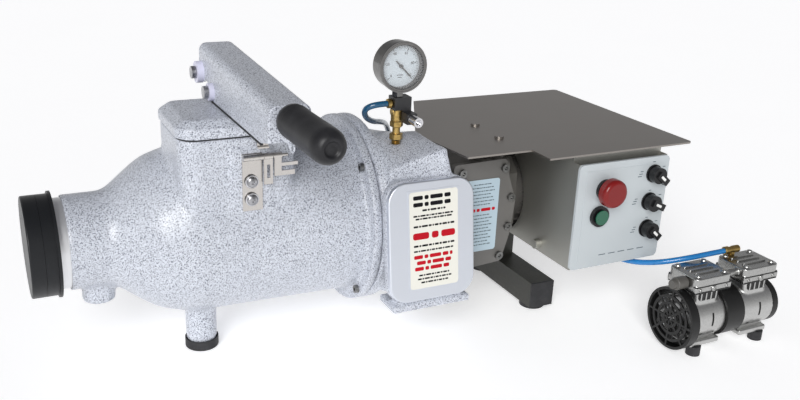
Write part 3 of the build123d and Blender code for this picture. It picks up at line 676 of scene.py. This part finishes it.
def make_dial():
    bm = bmesh.new()
    for k in range(51):
        angle = math.radians(-135 + 5.4 * k)
        long_one = k % 10 == 0
        length = 4.2 if long_one else 3.1 if k % 5 == 0 else 2.0
        along = Vector((math.sin(angle), 0.0, math.cos(angle)))
        across = along.cross(Vector((0.0, -1.0, 0.0)))
        bar(bm, dial_spot(angle, 25.4 - length / 2), across, along, 0.9 if long_one else 0.5, length, 0.08)
    for k in range(54):
        angle = math.radians(-135 + 5 * k + 2.5)
        along = Vector((math.sin(angle), 0.0, math.cos(angle)))
        across = along.cross(Vector((0.0, -1.0, 0.0)))
        bar(bm, dial_spot(angle, 26.2), across, along, 2.4, 0.45, 0.08)
    bar(bm, dial_spot(math.pi, 12), EAST, NORTH, 9.0, 1.1, 0.08)
    bar(bm, dial_spot(math.pi, 15), EAST, NORTH, 6.0, 0.9, 0.08)
    mesh_piece("dial_ticks", bm, "machine", INK)
    for k in range(6):
        angle = math.radians(-135 + 54 * k)
        curve = bpy.data.curves.new("number", "FONT")
        curve.body = str(20 * k)
        curve.size = 5.0 * MM
        curve.offset = 0.09 * MM
        curve.extrude = 0.05 * MM
        curve.align_x, curve.align_y = "CENTER", "CENTER"
        text = bpy.data.objects.new("number", curve)
        bpy.context.scene.collection.objects.link(text)
        spot = at(*dial_spot(angle, 18.0))
        text.matrix_world = Matrix.Translation(spot) @ Matrix.Rotation(math.pi / 2, 4, "X")
        bpy.context.view_layer.update()
        graph = bpy.context.evaluated_depsgraph_get()
        mesh = bpy.data.meshes.new_from_object(text.evaluated_get(graph))
        mesh.transform(text.matrix_world)
        bpy.data.objects.remove(text)
        mesh.materials.clear()
        link_piece(bpy.data.objects.new("dial_number_%d" % k, mesh), "machine", INK)


def make_bezel():
    x, y, z = GAUGE
    bm = bmesh.new()
    profile = [(0, 32.4), (0, 33.3), (1.5, 33.5), (4.5, 33.5), (5.6, 33.0), (6.0, 31.8), (5.7, 30.4),
               (4.6, 29.3), (-2, 29.0), (-2, 31.0), (0, 32.4)]
    lathe_ring(bm, profile, (x, y - 9.2, z), (0, -1, 0), 96)
    mesh_piece("gauge_bezel", bm, "machine", GAUGE_STEEL, 40)
    # Black ring inside the bezel round the dial's edge: painted shadow where the bezel shades the dial.
    bm = bmesh.new()
    profile = [(0, 28.9), (8.0, 28.9), (8.0, 28.2), (0, 27.4), (0, 28.9)]
    lathe_ring(bm, profile, (x, y - 4.6, z), (0, -1, 0), 96)
    mesh_piece("dial_shadow_ring", bm, "machine", INK, 40)


NUT_CHAMFER = 0.8


def hex_nut(bm, low, high, radius, x, y):
    """A hexagon standing on the Z axis, chamfered at both ends."""
    small = radius - NUT_CHAMFER
    profile = [(low, small), (low + NUT_CHAMFER, radius), (high - NUT_CHAMFER, radius), (high, small)]
    lathe(bm, profile, (x, y, 0), (0, 0, 1), 6)


def make_tee():
    x, y = GAUGE[:2]
    bm = bmesh.new()
    thread = [(287 - k * 0.55, 5.7 - 0.5 * (k % 2)) for k in range(26, -1, -1)]
    lathe(bm, thread, (x, y, 0), (0, 0, 1), 32)
    hex_nut(bm, 288.5, 297, 9, x, y)
    lathe(bm, [(296, 5.6), (299, 5.2), (304, 5.2), (307, 5.8)], (x, y, 0), (0, 0, 1), 32)
    hex_nut(bm, 306, 314, 9, x, y)
    lathe(bm, [(313, 6.6), (315, 7.9), (318, 8.0), (326, 8.0), (330.4, 7.0)], (x, y, 0), (0, 0, 1), 32)
    elbow = [(0, 4.6), (0.6, 6.2), (2, 6.4), (5, 6.4), (6, 5.6), (8, 5.0), (16, 5.0)]
    lathe(bm, elbow, (40, y, 338), (1, 0, 0), 24)
    lathe(bm, [(0, 4.9), (1.0, 5.4), (4, 5.4), (5, 5.0)], (47, y, 326), (1, 0, 0), 24)
    tee = mesh_piece("brass_tee", bm, "machine", BRASS)
    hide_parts("gauge_tee")


# ---------------------------------------------------------------- latch

LATCH_Y = -100.0


def make_latch_screws():
    bm = bmesh.new()
    for z in (264, 241):
        dome_screw(bm, (-155, LATCH_Y - 5.5, z), (0, -1, 0), 7.0, 4.4)
    mesh_piece("latch_screws", bm, "machine", SCREW_STEEL, 30)
    bm = bmesh.new()
    for z in (264, 241):
        lathe_ring(bm, [(0, 8.4), (1.2, 8.4), (1.6, 8.0), (1.6, 5.0), (0, 5.0), (0, 8.4)],
                   (-155, LATCH_Y - 4.2, z), (0, -1, 0), 40)
    mesh_piece("latch_washers", bm, "machine", CHROME, 30)


# ---------------------------------------------------------------- pump

PUMP_X, PUMP_Y, PUMP_Z = 486.0, -268.0, 50.0
DRUM_R = 33.2


def drum_patch(bm, x, angle, width, tall):
    """A dark patch that hugs a drum, painted shade for the inside of a slot: width along the axis, tall round
    it.
    """
    spots = []
    for k in range(5):
        turn = math.radians(angle) + (k - 2) / 4 * tall / DRUM_R
        for dx in (-width / 2, width / 2):
            spots.append(bm.verts.new(at(PUMP_X + x + dx, PUMP_Y - DRUM_R * math.cos(turn),
                                         PUMP_Z + DRUM_R * math.sin(turn))))
    for k in range(4):
        a = 2 * k
        bm.faces.new((spots[a], spots[a + 1], spots[a + 3], spots[a + 2]))


def pump_spot(x, y, z):
    """Point of the working frame, in mm, from the pump's middle on the floor."""
    return (PUMP_X + x, PUMP_Y + y, z)


def make_drum_slot_shade():
    # Dark patches on the drums: painted shade for the insides of the slots and holes.
    bm = bmesh.new()
    for x in (-40, 50):
        drum_patch(bm, x, 6, 3.0, 20.0)
        drum_patch(bm, x - 14, -36, 4.4, 4.4)
        drum_patch(bm, x + 4, -52, 4.4, 4.4)
    bmesh.ops.solidify(bm, geom=bm.faces[:], thickness=0.25 * MM)
    mesh_piece("drum_slot_shade", bm, "machine", PUMP_BLACK)


def make_necks():
    """The dark window with fins on each neck, painted shade for the inside of the neck's slot, and the two
    gaskets of each head.
    """
    bm = bmesh.new()
    fins = bmesh.new()
    for x in (-46, 46):
        # Dark window: painted shade inside the slot that holds the fins.
        plate(bm, rounded_outline(36, 12, 5.5), pump_spot(x, -22, 87), EAST, NORTH, 0.3)
        for k in range(4):
            bar(fins, pump_spot(x - 13.5 + 9 * k, -22.3, 87), EAST, NORTH, 2.2, 11.0, 0.8)
        for low in (96.2, 105.2):
            middle = pump_spot(x - math.copysign(1.0, x), 0, low)
            plate(bm, rounded_outline(65.4, 56.8, 3.0), middle, EAST, (0, 1, 0), 1.6)
    mesh_piece("pump_gaskets_and_slot_shade", bm, "machine", PUMP_BLACK)
    mesh_piece("neck_fins", fins, "machine", PUMP_CAST)


def make_head_ribs():
    """Three ribs on top of each head and three screws on its front."""
    bm = bmesh.new()
    for x in (-45, 45):
        for y in (-11, 0, 11):
            rib = rounded_outline(44, 4.0, 1.9)
            plate(bm, rib, pump_spot(x, y, 118), EAST, (0, 1, 0), 1.8, 0.6)
        dome_screw(bm, pump_spot(x, -28, 101.5), (0, -1, 0), 4.6, 2.6)
        for dx in (-24, 24):
            dome_screw(bm, pump_spot(x + dx, -28, 101.5), (0, -1, 0), 2.6, 1.6)
    mesh_piece("head_ribs", bm, "machine", PUMP_HEAD)


def make_pump_ports():
    bm = bmesh.new()
    profile = [(0, 5), (0, 6.2), (2, 7.0), (5.6, 7.2), (6, 8.2), (7, 9), (22, 9), (24.4, 8.0), (26, 6.0)]
    lathe(bm, profile, pump_spot(-104, -8, 108), (1, 0, 0), 40)
    muffler = mesh_piece("pump_muffler", bm, "machine", MOTOR_PAINT)
    bm = bmesh.new()
    barrel = [(0, 5.0), (0.8, 6.0), (7, 6.0), (8, 4.6), (14, 4.6), (16, 5.4), (27, 5.4), (28, 4.6)]
    lathe(bm, barrel, pump_spot(16, 20, 128), (1, 0, 0), 24)
    stem = [(0, 4.2), (1, 5.0), (6, 5.0), (8, 4.0), (12, 4.0)]
    lathe(bm, stem, pump_spot(32, 20, 118), (0, 0, 1), 6)
    fitting = mesh_piece("pump_fitting", bm, "machine", BRASS)
    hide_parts("pump_ports")
    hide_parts("pump_ports")


make_grip()
make_labels()
make_panel_marks()
make_knob_marks()
make_dial()
make_bezel()
make_tee()
make_latch_screws()
make_drum_slot_shade()
make_necks()
make_head_ribs()
make_pump_ports()


# ---------------------------------------------------------------- stage

def make_stage():
    bm = bmesh.new()
    bmesh.ops.create_grid(bm, x_segments=1, y_segments=1, size=6.0)
    mesh = bpy.data.meshes.new("floor")
    bm.to_mesh(mesh)
    bm.free()
    floor = bpy.data.objects.new("floor", mesh)
    bpy.context.scene.collection.objects.link(floor)
    s = Surface("floor", (0.93, 0.93, 0.93), 0.9, specular=0.1)
    s.color(s.mix(s.noise(3.0, 2.0), (0.92, 0.92, 0.925), (0.94, 0.94, 0.945)))
    s.set("Emission Color", (1.0, 1.0, 1.0, 1.0))
    s.set("Emission Strength", 0.42)
    mesh.materials.append(s.mat)


def make_lights():
    """One soft sun from beside the camera, and a studio that is bright at the horizon and dim overhead."""
    world = bpy.data.worlds.new("studio")
    world.use_nodes = True
    bpy.context.scene.world = world
    tree = world.node_tree
    back = tree.nodes["Background"]
    back.inputs["Strength"].default_value = 1.0
    coords = tree.nodes.new("ShaderNodeTexCoord")
    split = tree.nodes.new("ShaderNodeSeparateXYZ")
    ramp = tree.nodes.new("ShaderNodeValToRGB")
    tree.links.new(coords.outputs["Generated"], split.inputs["Vector"])
    tree.links.new(split.outputs["Z"], ramp.inputs["Fac"])
    tree.links.new(ramp.outputs["Color"], back.inputs["Color"])
    low, high = ramp.color_ramp.elements
    low.position, low.color = 0.05, (0.62, 0.62, 0.62, 1.0)
    high.position, high.color = 0.60, (0.20, 0.20, 0.21, 1.0)
    sun = bpy.data.lights.new("sun", "SUN")
    sun.energy = 2.35
    sun.angle = math.radians(30.0)
    light = bpy.data.objects.new("sun", sun)
    bearing, fall = YAW + math.radians(10.0), math.radians(27.0)
    level = Vector((math.sin(bearing), math.cos(bearing), 0.0))
    toward = level * math.cos(fall) - Vector(NORTH) * math.sin(fall)
    light.rotation_euler = toward.to_track_quat("-Z", "Y").to_euler()
    bpy.context.scene.collection.objects.link(light)
    bpy.context.scene.view_settings.view_transform = "Standard"


make_stage()
make_lights()
